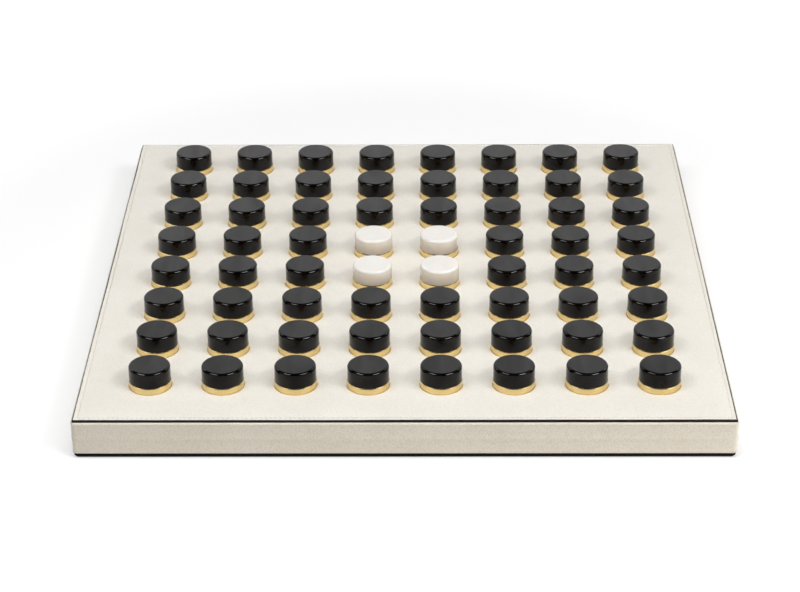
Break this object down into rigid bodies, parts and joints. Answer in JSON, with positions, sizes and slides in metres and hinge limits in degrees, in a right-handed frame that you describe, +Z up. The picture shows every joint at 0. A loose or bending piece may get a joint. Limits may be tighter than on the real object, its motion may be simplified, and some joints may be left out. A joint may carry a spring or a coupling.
{
  "type": "reversi board game",
  "caption": "Square leather-covered board with a grid of brass seats, each holding a cylindrical two-sided token, black on one face and white on the other.",
  "frame": {"origin": "middle of the board's underside", "axes": "+X to the right along the rows, +Y away from the viewer from row 1 to row 8, +Z up out of the playing face"},
  "size_m": [0.4028, 0.4028, 0.0402],
  "materials": {
    "ivory_leather": "fine grain, satin",
    "black_leather": "satin",
    "panel_wood": "raw fibre board",
    "brass": "fine turned, polished",
    "black_stone": "polished",
    "white_stone": "polished"
  },
  "bodies": {
    "root": {"base_sheet": "black_leather", "core_panel": "panel_wood", "side_wrap": "ivory_leather", "top_sheet": "ivory_leather", "brass_seats_row_1": "brass", "brass_seats_row_2": "brass", "brass_seats_row_3": "brass", "brass_seats_row_4": "brass", "brass_seats_row_5": "brass", "brass_seats_row_6": "brass", "brass_seats_row_7": "brass", "brass_seats_row_8": "brass", "black_token_halves_row_1": "black_stone", "black_token_halves_row_2": "black_stone", "black_token_halves_row_3": "black_stone", "black_token_halves_row_4": "black_stone", "black_token_halves_row_5": "black_stone", "black_token_halves_row_6": "black_stone", "black_token_halves_row_7": "black_stone", "black_token_halves_row_8": "black_stone", "white_token_halves_row_1": "white_stone", "white_token_halves_row_2": "white_stone", "white_token_halves_row_3": "white_stone", "white_token_halves_row_4": "white_stone", "white_token_halves_row_5": "white_stone", "white_token_halves_row_6": "white_stone", "white_token_halves_row_7": "white_stone", "white_token_halves_row_8": "white_stone"}
  },
  "joints": []
}
